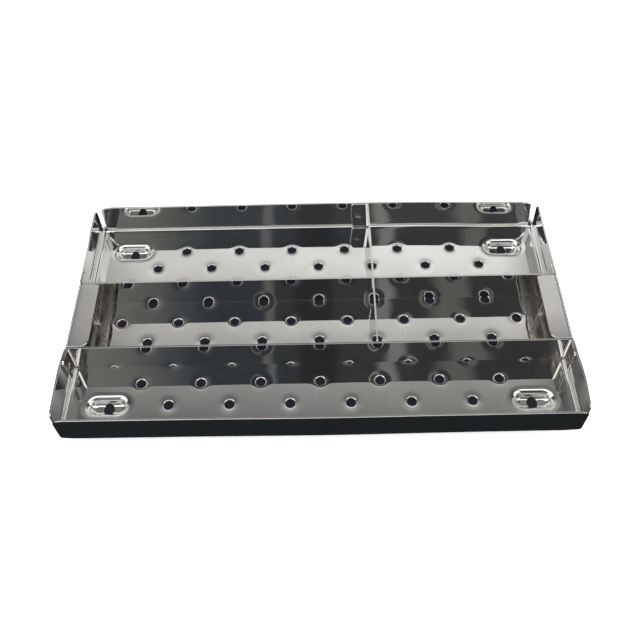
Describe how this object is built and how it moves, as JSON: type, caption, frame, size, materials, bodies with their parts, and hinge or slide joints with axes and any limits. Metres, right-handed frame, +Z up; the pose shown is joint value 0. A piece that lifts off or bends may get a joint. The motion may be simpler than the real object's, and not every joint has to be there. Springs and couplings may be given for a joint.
{
  "type": "implant instrument tray",
  "caption": "Shallow rectangular steel instrument tray with a perforated floor, pressed feet, hand-hold lips at both ends and welded upright dividers.",
  "frame": {"origin": "centre of the footprint, in the plane of the undersides of the feet", "axes": "+X along the long side to the right, +Y towards the rear wall, +Z up"},
  "size_m": [0.2684, 0.1478, 0.0245],
  "materials": {
    "pan_steel": "mirror-polished stainless steel sheet, with fine handling scratches",
    "divider_steel": "mirror-polished stainless steel sheet, with fine handling scratches"
  },
  "bodies": {
    "root": {"tray_pan": "pan_steel", "rear_partition": "divider_steel", "front_partition": "divider_steel", "cross_divider": "divider_steel"}
  },
  "joints": []
}
